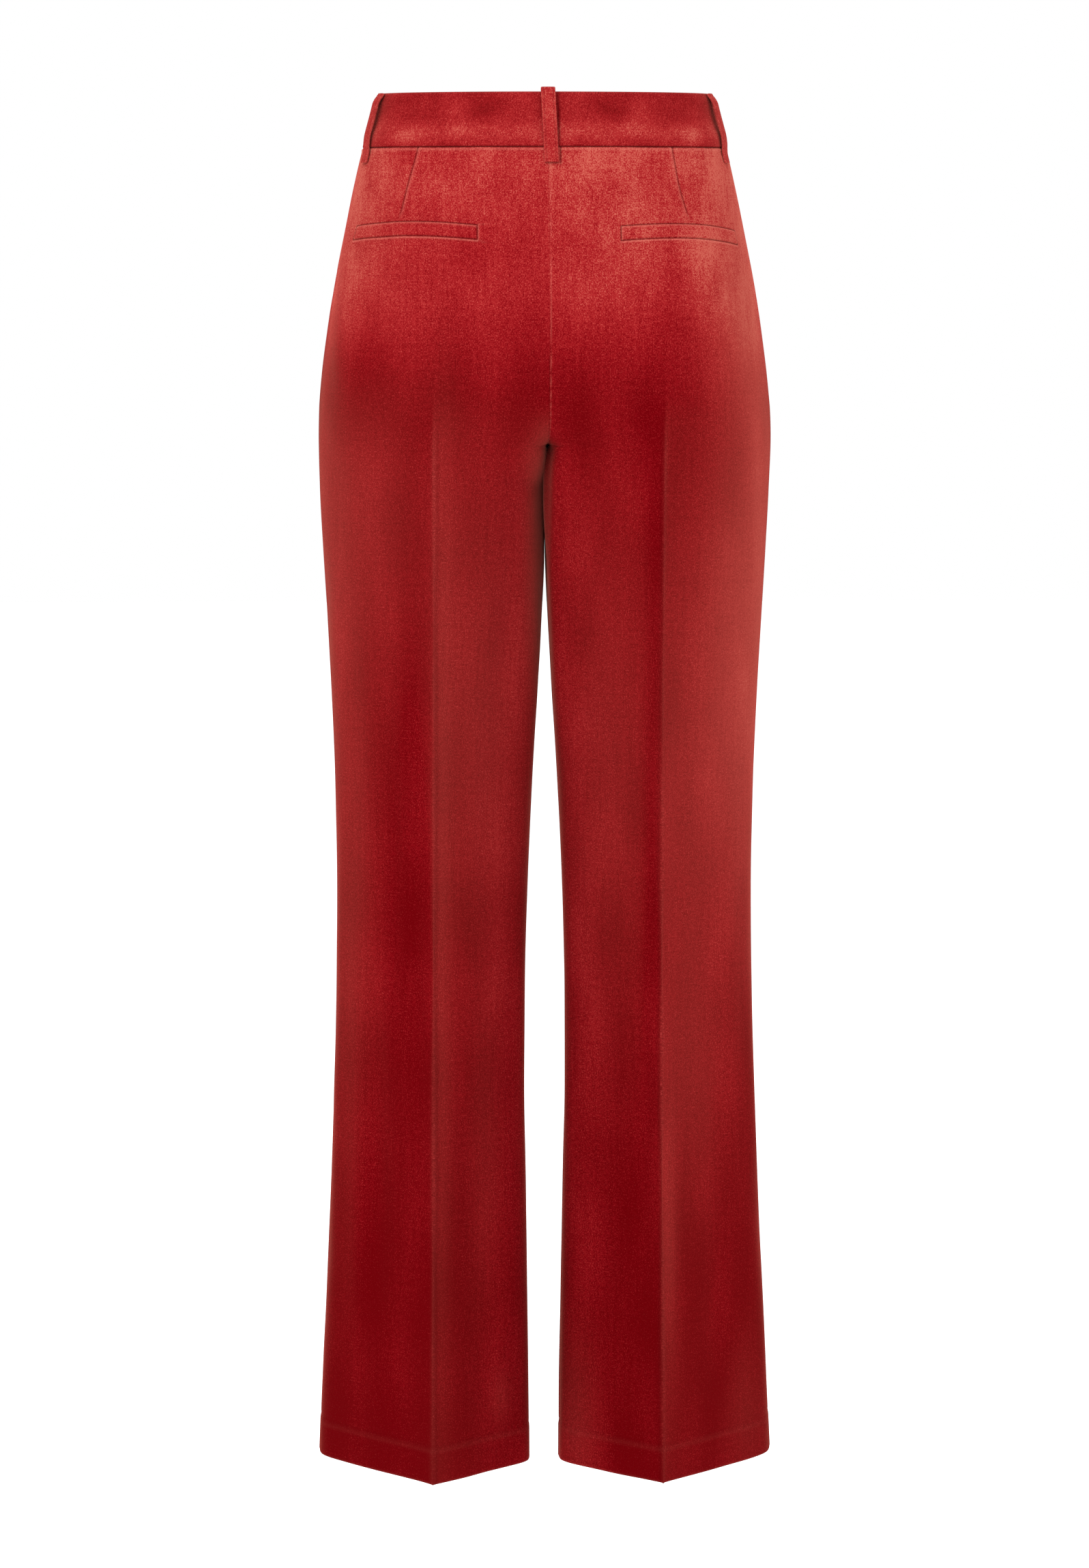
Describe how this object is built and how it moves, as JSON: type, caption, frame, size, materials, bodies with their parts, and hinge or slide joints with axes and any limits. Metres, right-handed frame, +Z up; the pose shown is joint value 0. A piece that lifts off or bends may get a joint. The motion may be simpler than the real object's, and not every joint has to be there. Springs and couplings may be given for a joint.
{
  "type": "flared trousers",
  "caption": "Flared full-length velvet trousers with a high waistband, belt loops, slant front pockets, back welt pockets and pressed creases, filled out as worn.",
  "frame": {"origin": "centre of the waist ring, at half the height of the waistband, on the plane between the two legs", "axes": "+Z up the legs to the waist, -Y the way the wearer faces, so the seat is at +Y, and +X to the wearer's left"},
  "size_m": [0.3584, 0.2406, 1.0872],
  "materials": {
    "velvet": "short cut pile, matt with a soft sheen at grazing angles, brick red"
  },
  "bodies": {
    "root": {"back_left": "velvet", "back_right": "velvet", "front_left": "velvet", "front_right": "velvet", "pocket_facing_left": "velvet", "pocket_facing_right": "velvet", "waistband_back": "velvet", "waistband_front_left": "velvet", "waistband_front_right": "velvet", "belt_loop_middle_back": "velvet", "belt_loop_back_left": "velvet", "belt_loop_back_right": "velvet", "belt_loop_front_left": "velvet", "belt_loop_front_right": "velvet", "welt_left": "velvet", "welt_right": "velvet"}
  },
  "joints": []
}
